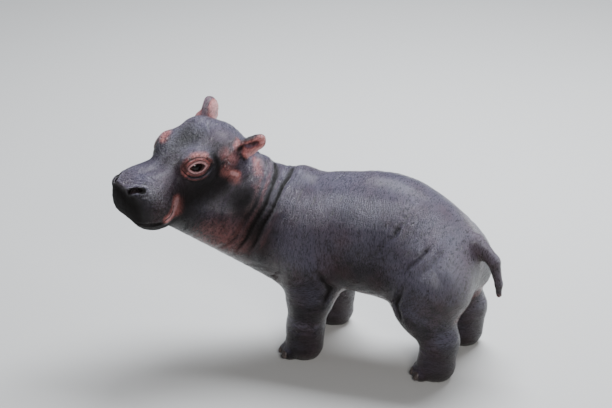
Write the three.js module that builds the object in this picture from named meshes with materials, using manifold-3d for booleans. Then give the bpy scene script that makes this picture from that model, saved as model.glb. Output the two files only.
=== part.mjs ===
// Hippopotamus calf, a still museum figure at life size: standing square on four feet,
// head raised and turned to its left.
// Millimetres. Trunk along X with the head toward -X, left flank toward -Y, up is +Z, soles at z = 0.
import * as THREE from 'three';
import Module from 'manifold-3d';

// ---- driving dimensions -------------------------------------------------------------------
const BACK_HEIGHT = 476;          // highest point of the back above the floor
const BARREL_HALF_WIDTH = 146;
const BELLY_CLEARANCE = 158;
const HIP_X = 114, SHOULDER_X = -170;
const HEAD_AT = [-436, -36, 527]; // midway between the ear roots, at the height of the eyes
const HEAD_YAW = 56, HEAD_PITCH = -7.5, HEAD_ROLL = 7;   // degrees: left of straight ahead, nose down, left side down
const MUZZLE_REACH = 246;         // muzzle centre ahead of the ear roots
const FRONT_FOOT = [-192, 108], HIND_FOOT = [160, 108];
const WRIST_HEIGHT = 62;
const LEG_CUT_HEIGHT = 140, LEG_CUT_SLOPE = 31;          // the legs part from the trunk on a plane rising outwards
const EYE_RADIUS = 22, EYE_AT = [118, 58, 0];            // head frame: forward, left, up
const NOSTRIL_AT = [297, 37, -14], NOSTRIL_SIZE = [11, 8, 9];
const TOE_FAN = [-54, -18, 18, 54];                      // degrees off straight ahead, outer to inner
const TOE_REACH = 37, TOE_RADIUS = 19, NAIL_LENGTH = 12, NAIL_WIDTH = 11;
const GAP = 0.3;                  // clearance left at every cut
const HOME = [172.93, 60.67];       // moves the figure so that its box is centred over the origin

// ---- shape helpers ------------------------------------------------------------------------
const rad = THREE.MathUtils.degToRad;
const blend = (a, b, k) => {
  const h = Math.max(k - Math.abs(a - b), 0) / k;
  return Math.min(a, b) - h * h * k * 0.25;
};
const carve = (a, b, k) => -blend(-a, b, k);             // a with b taken out
const ball = (p, c, r) => {
  const x = p[0] - c[0], y = p[1] - c[1], z = p[2] - c[2];
  const k0 = Math.hypot(x / r[0], y / r[1], z / r[2]);
  const k1 = Math.hypot(x / r[0] ** 2, y / r[1] ** 2, z / r[2] ** 2);
  return k0 * (k0 - 1) / Math.max(k1, 1e-6);
};
const bone = (p, a, b, ra, rb) => {
  const d = [b[0] - a[0], b[1] - a[1], b[2] - a[2]];
  const q = [p[0] - a[0], p[1] - a[1], p[2] - a[2]];
  const t = THREE.MathUtils.clamp((q[0] * d[0] + q[1] * d[1] + q[2] * d[2]) / (d[0] ** 2 + d[1] ** 2 + d[2] ** 2), 0, 1);
  return Math.hypot(q[0] - t * d[0], q[1] - t * d[1], q[2] - t * d[2]) - (ra + (rb - ra) * t);
};

// the head's own axes: forward, left, up
const headForward = new THREE.Vector3(-Math.cos(rad(HEAD_YAW)) * Math.cos(rad(HEAD_PITCH)),
  -Math.sin(rad(HEAD_YAW)) * Math.cos(rad(HEAD_PITCH)), Math.sin(rad(HEAD_PITCH)));
const levelLeft = new THREE.Vector3(Math.sin(rad(HEAD_YAW)), -Math.cos(rad(HEAD_YAW)), 0);
const headLeft = levelLeft.clone().multiplyScalar(Math.cos(rad(HEAD_ROLL)))
  .addScaledVector(new THREE.Vector3().crossVectors(headForward, levelLeft), -Math.sin(rad(HEAD_ROLL)));
const headUp = new THREE.Vector3().crossVectors(headForward, headLeft);
const headFrame = new THREE.Matrix4().makeBasis(headForward, headLeft, headUp).setPosition(...HEAD_AT);
const fromHead = (a, b, c) => new THREE.Vector3(a, b, c).applyMatrix4(headFrame).toArray();
const toHead = (p) => {
  const q = [p[0] - HEAD_AT[0], p[1] - HEAD_AT[1], p[2] - HEAD_AT[2]];
  return [headForward, headLeft, headUp].map((v) => v.x * q[0] + v.y * q[1] + v.z * q[2]);
};

// each ear's own axes in the mirrored head frame: along the ear, across it, out of its opening
const earAxes = (root, way, open) => {
  const along = new THREE.Vector3(...way).normalize(), out = new THREE.Vector3(...open);
  out.addScaledVector(along, -out.dot(along)).normalize();
  return { root, along, across: new THREE.Vector3().crossVectors(along, out), out };
};
const EARS = {                    // the left ear is turned back and opens forward, the right one stands up
  left: earAxes([-6, 72, 6], [-47, 37, 28], [0.55, 0.75, 0.1]),
  right: earAxes([-6, 71, 9], [-42, 36, 38], [0.1, 0.98, 0.1]),
};

// ---- flesh: every field is negative inside ------------------------------------------------
function head(q) {
  const s = [q[0], Math.abs(q[1]), q[2]];
  let d = ball(s, [22, 0, -27], [70, 80, 78]);                                   // crown
  d = blend(d, ball(s, [76, 0, -12], [78, 80, 58]), 45);                         // forehead
  d = blend(d, ball(s, [38, 50, 8], [44, 32, 44]), 30);                          // temples
  d = blend(d, ball(s, [36, 0, -84], [104, 90, 84]), 50);                        // cheeks
  d = blend(d, bone(s, [115, 26, -48], [226, 30, -56], 50, 44), 40);             // bridge of the snout
  d = blend(d, ball(s, [MUZZLE_REACH, 0, -66], [68, 72, 56]), 40);               // muzzle
  d = blend(d, ball(s, [222, 44, -98], [64, 40, 47]), 30);                       // lip pads
  d = blend(d, ball(s, [274, 34, -30], [25, 20, 16]), 18);                       // nostril mounds
  d = blend(d, bone(s, [50, 0, -112], [214, 0, -114], 56, 36), 30);              // lower jaw
  d = blend(d, ball(s, [114, 57, 6], [40, 26, 34]), 28);                         // brows
  d = carve(d, ball(s, [119, 86, -1], [20, 17, 13]), 5);                         // opening of the lids
  return d;
}

function leftEar(s) {
  let d = blend(bone(s, [0, 2, 0], [26, 4, 0], 18, 15), ball(s, [43, 6, 0], [30, 19, 12]), 12);   // blade
  d = blend(d, bone(s, [44, 2, 0], [66, -2, 0], 15, 9), 10);                     // tip
  d = blend(d, ball(s, [18, 17, 4], [22, 13, 11]), 10);                          // lobe
  return carve(d, ball(s, [42, 5, 13], [27, 15, 17]), 5);
}

function rightEar(s) {
  let d = blend(bone(s, [0, 0, 0], [26, 0, 0], 20, 17), ball(s, [43, 0, 0], [34, 26, 13]), 12);
  d = blend(d, ball(s, [10, -4, 14], [22, 21, 15]), 12);                         // flare at the base
  d = blend(d, ball(s, [40, 0, -8], [28, 24, 12]), 12);                          // back
  return carve(d, ball(s, [41, 0, 13], [27, 15, 17]), 5);
}

function ear(q) {
  const [shape, side] = q[1] > 0 ? [EARS.left, 1] : [EARS.right, -1];
  const p = new THREE.Vector3(q[0] - shape.root[0], q[1] * side - shape.root[1], q[2] - shape.root[2]);
  const s = [p.dot(shape.along), p.dot(shape.across), p.dot(shape.out)];
  return side > 0 ? leftEar(s) : rightEar(s);
}

function trunk(p) {
  const s = [p[0], Math.abs(p[1]), p[2]];
  const barrelHalfHeight = (BACK_HEIGHT - BELLY_CLEARANCE) / 2;
  let d = ball(s, [-160, 0, 310], [112, 124, 138]);                              // chest
  d = blend(d, ball(s, [-20, 0, BELLY_CLEARANCE + barrelHalfHeight], [215, BARREL_HALF_WIDTH, barrelHalfHeight - 1]), 50);
  d = blend(d, ball(s, [-232, 0, 372], [60, 92, 90]), 30);                       // withers
  d = blend(d, ball(s, [HIP_X, 0, 262], [132, 136, 134]), 50);                   // hips
  d = blend(d, ball(s, [SHOULDER_X, 74, 286], [80, 60, 112]), 40);               // shoulders
  d = blend(d, ball(s, [134, 80, 240], [92, 76, 112]), 40);                      // thighs
  d = blend(d, ball(s, [-222, -6, 268], [88, 102, 98]), 40);                     // brisket
  return d;
}

function legs(p) {
  const s = [p[0], Math.abs(p[1]), p[2]];
  const [fx, fy] = FRONT_FOOT, [hx, hy] = HIND_FOOT;
  let d = bone(s, [-178, 92, 250], [-170, 102, 172], 72, 58);                    // forearm
  d = blend(d, bone(s, [-170, 102, 172], [-182, 106, 84], 56, 46), 24);
  d = blend(d, bone(s, [-182, 106, 84], [fx + 6, fy, 36], 46, 48), 14);
  let e = bone(s, [156, 92, 228], [136, 104, 178], 82, 66);                      // thigh to hock
  e = blend(e, bone(s, [136, 104, 178], [176, 108, 104], 61, 47), 24);
  e = blend(e, bone(s, [176, 108, 104], [hx + 6, hy, 36], 46, 48), 14);
  for (const a of TOE_FAN) {
    const out = Math.cos(rad(a)) * TOE_REACH, side = -Math.sin(rad(a)) * TOE_REACH;
    d = blend(d, bone(s, [fx + 4, fy, 34], [fx - out, fy + side, 16], 26, TOE_RADIUS), 7);
    e = blend(e, bone(s, [hx + 4, hy, 34], [hx - out, hy + side, 16], 26, TOE_RADIUS), 7);
  }
  return Math.min(d, e);
}

function neck(p) {
  let d = bone(p, [-200, -10, 296], fromHead(30, 0, -112), 124, 94);             // neck
  d = blend(d, bone(p, [-240, -6, 342], [-330, -22, 386], 82, 72), 40);          // nape
  d = blend(d, bone(p, [-330, -22, 386], fromHead(8, 0, -38), 72, 68), 30);
  return blend(d, bone(p, [-250, -30, 262], fromHead(116, 10, -122), 96, 82), 40);   // throat
}

const TAIL = [[232, 0, 330], [278, 0, 286], [291, 0, 228], [292, 0, 198]];
function tail(p) {
  let d = bone(p, TAIL[0], TAIL[1], 24, 15);
  d = blend(d, bone(p, TAIL[1], TAIL[2], 15, 10), 8);
  return blend(d, bone(p, TAIL[2], TAIL[3], 10, 7), 6);
}

function flesh(p) {
  const q = toHead(p);
  let d = blend(trunk(p), legs(p), 40);
  d = blend(d, tail(p), 16);
  d = blend(d, neck(p), 40);
  d = blend(d, head(q), 30);
  return blend(d, ear(q), 12);
}

// ---- facets: dual mesh of a field inside a box, drawn onto the surface --------------------
function facets(field, low, high, step) {
  const n = low.map((v, i) => Math.ceil((high[i] - v) / step) + 1);
  const at = (i, j, k) => (i * n[1] + j) * n[2] + k;
  const value = new Float64Array(n[0] * n[1] * n[2]);
  for (let i = 0; i < n[0]; i++) for (let j = 0; j < n[1]; j++) for (let k = 0; k < n[2]; k++) {
    const rim = i === 0 || j === 0 || k === 0 || i === n[0] - 1 || j === n[1] - 1 || k === n[2] - 1;
    value[at(i, j, k)] = rim ? 1e3 : field([low[0] + i * step, low[1] + j * step, low[2] + k * step]);
  }
  // a square of samples whose signs alternate would pinch the surface: its weakest sample changes side
  for (let flips = 1, round = 0; flips > 0 && round < 40; round++) {
    flips = 0;
    for (let i = 0; i < n[0] - 1; i++) for (let j = 0; j < n[1] - 1; j++) for (let k = 0; k < n[2] - 1; k++) {
      for (const [u, v] of [[[1, 0, 0], [0, 1, 0]], [[0, 1, 0], [0, 0, 1]], [[0, 0, 1], [1, 0, 0]]]) {
        const ring = [at(i, j, k), at(i + u[0], j + u[1], k + u[2]),
          at(i + u[0] + v[0], j + u[1] + v[1], k + u[2] + v[2]), at(i + v[0], j + v[1], k + v[2])];
        const signs = ring.map((c) => value[c] < 0);
        if (signs[0] !== signs[2] || signs[1] !== signs[3] || signs[0] === signs[1]) continue;
        const weakest = ring.reduce((a, b) => (Math.abs(value[b]) < Math.abs(value[a]) ? b : a));
        value[weakest] = value[weakest] < 0 ? 1e-3 : -1e-3;
        flips++;
      }
    }
  }
  const position = [], index = [], cell = new Map();
  const corner = (i, j, k) => {
    const key = at(i, j, k);
    if (cell.has(key)) return cell.get(key);
    const sum = [0, 0, 0];
    let hits = 0;
    for (let axis = 0; axis < 3; axis++) for (let u = 0; u < 2; u++) for (let v = 0; v < 2; v++) {
      const a = [0, 0, 0], b = [0, 0, 0];
      a[(axis + 1) % 3] = b[(axis + 1) % 3] = u;
      a[(axis + 2) % 3] = b[(axis + 2) % 3] = v;
      b[axis] = 1;
      const fa = value[at(i + a[0], j + a[1], k + a[2])], fb = value[at(i + b[0], j + b[1], k + b[2])];
      if ((fa < 0) === (fb < 0)) continue;
      a[axis] = fa / (fa - fb);
      hits++;
      for (let m = 0; m < 3; m++) sum[m] += a[m];
    }
    const p = [i, j, k].map((c, m) => low[m] + (c + (sum[m] / hits + 0.5) / 2) * step);   // kept off its neighbours
    const inside = p.every((c, m) => c > low[m] + 1.5 * step && c < high[m] - 1.5 * step);
    for (let round = 0; inside && round < 4; round++) {
      const e = 0.5, f = field(p);
      const g = [0, 1, 2].map((m) => {
        const u = p.slice(), v = p.slice();
        u[m] += e; v[m] -= e;
        return (field(u) - field(v)) / (2 * e);
      });
      const gg = g[0] ** 2 + g[1] ** 2 + g[2] ** 2 + 1e-6;
      for (let m = 0; m < 3; m++) p[m] -= THREE.MathUtils.clamp(f * g[m] / gg, -step / 3, step / 3);
    }
    cell.set(key, position.length / 3);
    position.push(...p);
    return position.length / 3 - 1;
  };
  const apart = (a, b) => [0, 1, 2].reduce((s, m) => s + (position[a * 3 + m] - position[b * 3 + m]) ** 2, 0);
  for (let i = 0; i < n[0] - 1; i++) for (let j = 0; j < n[1] - 1; j++) for (let k = 0; k < n[2] - 1; k++) {
    for (let axis = 0; axis < 3; axis++) {
      const here = [i, j, k], next = [i, j, k];
      next[axis]++;
      const f0 = value[at(...here)] < 0, f1 = value[at(...next)] < 0;
      if (f0 === f1) continue;
      const u = (axis + 1) % 3, v = (axis + 2) % 3;
      const quad = [[-1, -1], [0, -1], [0, 0], [-1, 0]].map(([du, dv]) => {
        const c = here.slice();
        c[u] += du; c[v] += dv;
        return corner(...c);
      });
      if (!f0) quad.reverse();
      const [a, b, c, d] = quad;
      if (apart(a, c) <= apart(b, d)) index.push(a, b, c, a, c, d);
      else index.push(a, b, d, b, c, d);
    }
  }
  return { position, index };
}

// ---- joining and cutting ------------------------------------------------------------------
const { Manifold, Mesh } = await (async () => { const m = await Module(); m.setup(); return m; })();

function solid(position, index) {
  const mesh = new Mesh({ numProp: 3, vertProperties: new Float32Array(position), triVerts: new Uint32Array(index) });
  mesh.merge();
  return new Manifold(mesh);
}
function fromGeometry(geometry, matrix = new THREE.Matrix4()) {
  const g = geometry.clone().applyMatrix4(matrix);
  const seen = new Map(), position = [], map = [];
  const raw = g.attributes.position;
  for (let i = 0; i < raw.count; i++) {
    const p = [raw.getX(i), raw.getY(i), raw.getZ(i)];
    const key = p.map((c) => Math.round(c * 1e4)).join();
    if (!seen.has(key)) { seen.set(key, position.length / 3); position.push(...p); }
    map.push(seen.get(key));
  }
  const order = g.index ? Array.from(g.index.array) : map.map((_, i) => i);
  const index = [];
  for (let i = 0; i < order.length; i += 3) {
    const [a, b, c] = [0, 1, 2].map((m) => map[order[i + m]]);
    if (a !== b && b !== c && a !== c) index.push(a, b, c);
  }
  return solid(position, index);
}
// box between two corners of a frame, opened by `grow` on every side
function block(low, high, grow = 0, frame = new THREE.Matrix4()) {
  const size = low.map((v, i) => high[i] - v + 2 * grow);
  const mid = low.map((v, i) => (high[i] + v) / 2);
  return fromGeometry(new THREE.BoxGeometry(...size), frame.clone().multiply(new THREE.Matrix4().makeTranslation(...mid)));
}
const lump = (low, high, step, field = flesh) => {
  const f = facets(field, low, high, step);
  return solid(f.position, f.index);
};
const frameOf = (x, y, z, origin) => new THREE.Matrix4().makeBasis(x, y, z).setPosition(...origin);

// ---- cutting frames -----------------------------------------------------------------------
const BIG = 500;
// neck and head part on a plane that leans forward under the jaw
const napeNormal = headForward.clone().add(new THREE.Vector3(-0.85, -0.09, 0.22)).addScaledVector(headUp, 0.3).normalize();
const napeSide = new THREE.Vector3().crossVectors(headUp, napeNormal).normalize();
const napeFrame = frameOf(napeNormal, napeSide, new THREE.Vector3().crossVectors(napeNormal, napeSide), fromHead(-52, 0, -46));
// neck and trunk part across the deep fold in front of the shoulders
const foldNormal = new THREE.Vector3(-0.98, -0.16, 0.1).normalize();
const foldSide = new THREE.Vector3(-foldNormal.y, foldNormal.x, 0).normalize();
const foldFrame = frameOf(foldNormal, foldSide, new THREE.Vector3().crossVectors(foldNormal, foldSide), [-288, -14, 360]);
const ahead = (frame, grow = 0) => block([0, -BIG, -BIG], [BIG * 2, BIG, BIG], grow, frame);

// a leg is what lies under a plane that rises outwards from the belly
const legCut = (side, low, high, grow = 0) => {
  const out = new THREE.Vector3(0, Math.cos(rad(LEG_CUT_SLOPE)) * side, Math.sin(rad(LEG_CUT_SLOPE)));
  const along = new THREE.Vector3(side, 0, 0);
  const slope = frameOf(along, out, new THREE.Vector3().crossVectors(along, out), [0, 22 * side, LEG_CUT_HEIGHT]);
  const under = block([-BIG, -BIG, -BIG], [BIG, BIG, 0], grow, slope);
  return under.intersect(block([low, side > 0 ? 22 : -BIG, -5], [high, side > 0 ? BIG : -22, BIG], grow));
};
const legs4 = {
  leg_front_left: [-1, -320, -20], leg_front_right: [1, -320, -20],
  leg_hind_left: [-1, 20, 256], leg_hind_right: [1, 20, 256],
};
const tailBox = [[265, -36, 150], [BIG, 36, 345]];
const earFrame = (shape, side) => {
  const flip = (v) => headForward.clone().multiplyScalar(v.x).addScaledVector(headLeft, v.y * side).addScaledVector(headUp, v.z);
  const way = flip(shape.along), across = flip(shape.across);
  const foot = shape.root.map((c, i) => c + shape.along.toArray()[i] * 16);
  return frameOf(way, across, new THREE.Vector3().crossVectors(way, across), fromHead(foot[0], foot[1] * side, foot[2]));
};
// the box that an ear is parted from the head by
const earBlock = (name, grow = 0) => {
  const reach = name === 'left' ? 28 : 30;
  return block([0, -reach, -20], [80, reach, 24], grow, earFrame(EARS[name], name === 'left' ? 1 : -1));
};
// the mouth line: the lower jaw is what lies under it
const mouth = new THREE.Shape([[340, -126], [176, -116], [128, -150], [128, -230], [340, -230]].map(([a, c]) => new THREE.Vector2(a, c)));
const jawCut = (grow) => {
  const g = new THREE.ExtrudeGeometry(mouth, { depth: 300, bevelEnabled: false });
  g.translate(0, 0, -150).rotateX(Math.PI / 2);
  const lift = new THREE.Matrix4().makeTranslation(-grow, 0, grow);
  return fromGeometry(g, headFrame.clone().multiply(lift));
};

// ---- colours ------------------------------------------------------------------------------
const hide = (colour, roughness = 0.5) => new THREE.MeshStandardMaterial({ color: new THREE.Color(colour), roughness, metalness: 0 });
const GREY = '#565561', DARK = '#3e3c46', PINK = '#8a6468', HORN = '#4a4145', EYE = '#120d0c';

const group = new THREE.Group();
group.name = 'hippopotamus_calf';
// vertices are drawn onto a fine grid, so that slivers left by a cut close up
function add(name, body, colour, roughness) {
  const main = body.decompose().sort((a, b) => b.volume() - a.volume())[0];   // crumbs cut loose are dropped
  const mesh = main.getMesh(), grid = 0.02;
  const seen = new Map(), position = [], map = [], index = [];
  for (let i = 0; i < mesh.numVert; i++) {
    const at = [0, 1, 2].map((m) => mesh.vertProperties[i * mesh.numProp + m] + (HOME[m] ?? 0));
    const snapped = at.map((c) => Math.round(c / grid)), key = snapped.join();
    if (!seen.has(key)) { seen.set(key, position.length / 3); position.push(...snapped.map((c) => c * grid)); }
    map.push(seen.get(key));
  }
  for (let i = 0; i < mesh.triVerts.length; i += 3) {
    const [a, b, c] = [0, 1, 2].map((m) => map[mesh.triVerts[i + m]]);
    if (a !== b && b !== c && a !== c) index.push(a, b, c);
  }
  const g = new THREE.BufferGeometry();
  g.setAttribute('position', new THREE.Float32BufferAttribute(position, 3));
  g.setIndex(index);
  g.computeVertexNormals();
  const m = new THREE.Mesh(g, hide(colour, roughness));
  m.name = name;
  group.add(m);
}

// ---- eyes ---------------------------------------------------------------------------------
const eyeAt = (side) => new THREE.Matrix4().makeTranslation(...fromHead(EYE_AT[0], EYE_AT[1] * side, EYE_AT[2]));
const eyeball = (side, grow = 0) => fromGeometry(new THREE.SphereGeometry(EYE_RADIUS + grow, 12, 8), eyeAt(side));
add('eye_left', eyeball(1), EYE, 0.1);
add('eye_right', eyeball(-1), EYE, 0.1);

// ---- head, lower jaw and ears -------------------------------------------------------------
const headLump = lump([-680, -330, 230], [-260, 90, 640], 23).intersect(ahead(napeFrame));
let skull = headLump.subtract(jawCut(GAP));
for (const side of [1, -1]) {
  const nostril = new THREE.SphereGeometry(1, 8, 6).scale(...NOSTRIL_SIZE).translate(NOSTRIL_AT[0], NOSTRIL_AT[1] * side, NOSTRIL_AT[2]);
  skull = skull.subtract(fromGeometry(nostril, headFrame));
  skull = skull.subtract(eyeball(side, GAP + 0.6));
  skull = skull.subtract(earBlock(side > 0 ? 'left' : 'right', GAP));
}
add('head', skull, GREY, 0.45);
add('lower_jaw', headLump.intersect(jawCut(0)), DARK, 0.5);
for (const name of ['left', 'right']) {
  const c = fromHead(-30, name === 'left' ? 90 : -90, 24);
  const tip = lump(c.map((v) => v - 68), c.map((v) => v + 68), 9.3, (p) => blend(head(toHead(p)), ear(toHead(p)), 12));
  add(`ear_${name}`, tip.intersect(earBlock(name)), PINK, 0.55);
}

// ---- neck and trunk -----------------------------------------------------------------------
const neckLump = lump([-580, -280, 120], [-230, 160, 640], 29);
let collar = neckLump.intersect(ahead(foldFrame)).subtract(ahead(napeFrame, GAP));
for (const name of ['left', 'right']) collar = collar.subtract(earBlock(name, GAP));
add('neck', collar, GREY, 0.5);
let barrel = lump([-380, -230, 80], [320, 230, 540], 37).subtract(ahead(foldFrame, GAP)).subtract(block(...tailBox, GAP));
for (const cut of Object.values(legs4)) barrel = barrel.subtract(legCut(...cut, GAP));
add('trunk', barrel, GREY, 0.5);
add('tail', lump([235, -50, 165], [325, 50, 360], 11).intersect(block(...tailBox)), DARK, 0.6);

// ---- legs, feet and toenails --------------------------------------------------------------
const nail = (x, y, turn, grow) => {
  const m = new THREE.Matrix4().makeTranslation(x, y, 17)
    .multiply(new THREE.Matrix4().makeRotationZ(turn))
    .multiply(new THREE.Matrix4().makeRotationY(rad(24)))
    .multiply(new THREE.Matrix4().makeScale(6.5 + grow, NAIL_WIDTH + grow, NAIL_LENGTH + grow));
  return fromGeometry(new THREE.SphereGeometry(1, 7, 4), m);
};
for (const [name, cut] of Object.entries(legs4)) {
  const left = cut[0];
  const [fx, fy] = name.includes('front') ? FRONT_FOOT : HIND_FOOT;
  const mid = [fx, fy * left];
  const x0 = mid[0] - 95, x1 = mid[0] + 110;
  add(name, lump([mid[0] - 150, left < 0 ? -230 : 0, 20], [mid[0] + 160, left < 0 ? 0 : 230, 280], 25)
    .intersect(legCut(...cut)).intersect(block([-BIG, -BIG, WRIST_HEIGHT], [BIG, BIG, BIG])), GREY, 0.5);
  let foot = lump([x0, mid[1] - 90, -28], [x1, mid[1] + 90, 102], 20)
    .intersect(block([-BIG, -BIG, 0], [BIG, BIG, WRIST_HEIGHT - GAP]));
  TOE_FAN.forEach((a, i) => {
    const reach = TOE_REACH + TOE_RADIUS - 3;
    const x = mid[0] - Math.cos(rad(a)) * reach, y = mid[1] - Math.sin(rad(a)) * reach * left;
    const turn = Math.atan2(y - mid[1], x - mid[0]) + Math.PI;
    foot = foot.subtract(nail(x, y, turn, GAP));
    add(`nail_${name.slice(4)}_${i + 1}`, nail(x, y, turn, 0), HORN, 0.4);
  });
  add(name.replace('leg', 'foot'), foot, DARK, 0.55);
}

export default group;
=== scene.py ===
import math

import bpy
import numpy as np
from mathutils import Matrix, Vector


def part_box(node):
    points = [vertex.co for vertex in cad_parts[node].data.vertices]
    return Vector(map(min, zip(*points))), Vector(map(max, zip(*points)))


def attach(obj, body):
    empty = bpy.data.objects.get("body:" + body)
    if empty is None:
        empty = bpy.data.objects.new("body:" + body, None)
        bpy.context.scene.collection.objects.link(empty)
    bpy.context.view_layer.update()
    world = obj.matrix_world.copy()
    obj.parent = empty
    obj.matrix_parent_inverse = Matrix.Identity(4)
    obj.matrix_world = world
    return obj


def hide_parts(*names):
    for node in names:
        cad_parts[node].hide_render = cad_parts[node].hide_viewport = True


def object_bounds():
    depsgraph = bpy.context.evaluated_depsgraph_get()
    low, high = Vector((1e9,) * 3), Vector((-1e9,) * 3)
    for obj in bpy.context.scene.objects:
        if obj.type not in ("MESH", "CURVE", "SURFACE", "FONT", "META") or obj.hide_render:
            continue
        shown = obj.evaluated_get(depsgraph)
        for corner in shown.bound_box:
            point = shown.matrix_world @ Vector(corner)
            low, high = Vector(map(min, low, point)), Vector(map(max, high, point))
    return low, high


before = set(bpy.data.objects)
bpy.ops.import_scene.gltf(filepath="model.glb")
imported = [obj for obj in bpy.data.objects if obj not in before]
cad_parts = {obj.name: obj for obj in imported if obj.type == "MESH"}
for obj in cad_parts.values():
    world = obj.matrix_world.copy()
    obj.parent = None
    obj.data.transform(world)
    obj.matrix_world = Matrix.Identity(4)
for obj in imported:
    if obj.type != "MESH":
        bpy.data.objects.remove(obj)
cad_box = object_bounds()

# ---- Body shape ---------------------------------------------------------------------------
# The calf as one rounded body, written as a distance in millimetres that is negative inside:
# trunk, four legs, neck and tail are ellipsoids and tapered limbs melted into each other.
# The trunk lies along X with the head toward -X, the left flank toward -Y and the soles at z = 0.
HOME = np.array((172.93, 60.67, 0.0))      # from the calf's own origin to the frame's, mm
FRONT_FOOT = (-192, 108)
HIND_FOOT = (160, 108)
TOE_FAN = (-54, -18, 18, 54)               # degrees off straight ahead, outer to inner
TOE_REACH = 37


def ball(p, centre, radii):
    x, y, z = (p[i] - np.float32(centre[i]) for i in range(3))
    rx, ry, rz = radii
    near = np.sqrt((x / rx) ** 2 + (y / ry) ** 2 + (z / rz) ** 2)
    slope = np.sqrt((x / rx**2) ** 2 + (y / ry**2) ** 2 + (z / rz**2) ** 2)
    return near * (near - 1) / np.maximum(slope, 1e-6)


def along(p, a, b):
    """How far along the line from a to b each point lies, 0 to 1, and its distance from it."""
    way = [b[i] - a[i] for i in range(3)]
    x, y, z = (p[i] - np.float32(a[i]) for i in range(3))
    t = np.clip((x * way[0] + y * way[1] + z * way[2]) / sum(w * w for w in way), 0, 1)
    gap = np.sqrt((x - way[0] * t) ** 2 + (y - way[1] * t) ** 2 + (z - way[2] * t) ** 2)
    return t, gap


def limb(p, a, b, start, end):
    t, gap = along(p, a, b)
    return gap - (start + (end - start) * t)


def melt(a, b, k):
    h = np.maximum(k - np.abs(a - b), 0) / k
    return np.minimum(a, b) - h * h * (k * 0.25)


def scoop(a, b, k):
    return -melt(-a, b, k)


def trunk(p):
    s = (p[0], np.abs(p[1]), p[2])
    d = ball(s, (-160, 0, 310), (112, 124, 138))                   # chest
    d = melt(d, ball(s, (-20, 0, 317), (215, 146, 158)), 50)       # barrel
    d = melt(d, ball(s, (-232, 0, 372), (60, 92, 90)), 30)         # withers
    d = melt(d, ball(s, (114, 0, 262), (132, 136, 134)), 50)       # hips
    d = melt(d, ball(s, (-170, 74, 286), (80, 60, 112)), 40)       # shoulders
    d = melt(d, ball(s, (134, 80, 240), (92, 76, 112)), 40)        # thighs
    return melt(d, ball(s, (-222, -6, 268), (88, 102, 98)), 40)    # brisket


def legs(p):
    s = (p[0], np.abs(p[1]), p[2])
    fx, fy = FRONT_FOOT
    hx, hy = HIND_FOOT
    front = limb(s, (-178, 92, 250), (-170, 102, 172), 72, 58)
    front = melt(front, limb(s, (-170, 102, 172), (-182, 106, 84), 56, 46), 24)
    front = melt(front, limb(s, (-182, 106, 84), (fx + 6, fy, 36), 46, 48), 14)
    hind = limb(s, (156, 92, 228), (136, 104, 178), 82, 66)
    hind = melt(hind, limb(s, (136, 104, 178), (176, 108, 104), 61, 47), 24)
    hind = melt(hind, limb(s, (176, 108, 104), (hx + 6, hy, 36), 46, 48), 14)
    for turn in TOE_FAN:
        ahead = math.cos(math.radians(turn)) * TOE_REACH
        aside = math.sin(math.radians(turn)) * TOE_REACH
        front = melt(front, limb(s, (fx + 4, fy, 34), (fx - ahead, fy - aside, 16), 26, 19), 7)
        hind = melt(hind, limb(s, (hx + 4, hy, 34), (hx - ahead, hy - aside, 16), 26, 19), 7)
    return np.minimum(front, hind)


def tail(p):
    d = limb(p, (232, 0, 330), (278, 0, 286), 24, 15)
    d = melt(d, limb(p, (278, 0, 286), (291, 0, 228), 15, 10), 8)
    return melt(d, limb(p, (291, 0, 228), (292, 0, 198), 10, 7), 6)


# ---- Head shape ---------------------------------------------------------------------------
# The head is turned to the calf's left with the nose a little down. It has a frame of its own:
# forward, left and up from a point midway between the ear roots, and its two sides are alike.
HEAD_AT = np.array((-436.0, -36.0, 527.0))
HEAD_TURN, NOSE_UP, LEFT_UP = (math.radians(v) for v in (56, -7.5, -7))
FORWARD = np.array((-math.cos(HEAD_TURN) * math.cos(NOSE_UP),
                    -math.sin(HEAD_TURN) * math.cos(NOSE_UP), math.sin(NOSE_UP)))
LEVEL_LEFT = np.array((math.sin(HEAD_TURN), -math.cos(HEAD_TURN), 0))
LEFT = LEVEL_LEFT * math.cos(LEFT_UP) + np.cross(FORWARD, LEVEL_LEFT) * math.sin(LEFT_UP)
UP = np.cross(FORWARD, LEFT)

EYE_AT = np.array((118.0, 58.0, 0.0))
EYE_RADIUS = 22.0
LID = 3.4                                  # thickness of an eyelid
EYE_OUT = np.array((0.03, 0.97, 0.21))     # the way the left eye looks
EYE_OUT /= np.linalg.norm(EYE_OUT)
EYE_FRONT = np.array((1.0, -0.10, 0.17))   # along the slit, to its inner corner
EYE_FRONT -= EYE_OUT * (EYE_FRONT @ EYE_OUT)
EYE_FRONT /= np.linalg.norm(EYE_FRONT)
EYE_UP = np.cross(EYE_FRONT, EYE_OUT)
SLIT_HALF = 20.5                           # half the length of the open slit
SLIT_TOP, SLIT_BOTTOM = 10.4, 10.4         # its height above and below the corners


def ear_axes(root, way, opening):
    """An ear's root and its own axes: along it, across it, and out of its opening."""
    way = np.array(way) / np.linalg.norm(way)
    opening = np.array(opening) - way * np.dot(way, opening)
    opening /= np.linalg.norm(opening)
    return root, (way, np.cross(way, opening), opening)


LEFT_EAR = ear_axes((-6, 72, 6), (-47, 37, 28), (0.55, 0.75, 0.1))      # turned back
RIGHT_EAR = ear_axes((-6, 71, 9), (-42, 36, 38), (0.1, 0.98, 0.1))      # standing up
NOSTRIL = ((291, 35, -18), (279, 45, -11), (266, 54, -15))              # an arch, front to rear
LIPS = (                                   # where the upper lip meets the lower one, front to corner
    (318, 0, -104), (300, 48, -103), (270, 76, -104), (236, 86, -107),
    (214, 86, -100), (205, 85, -88), (201, 84, -74))


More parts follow.
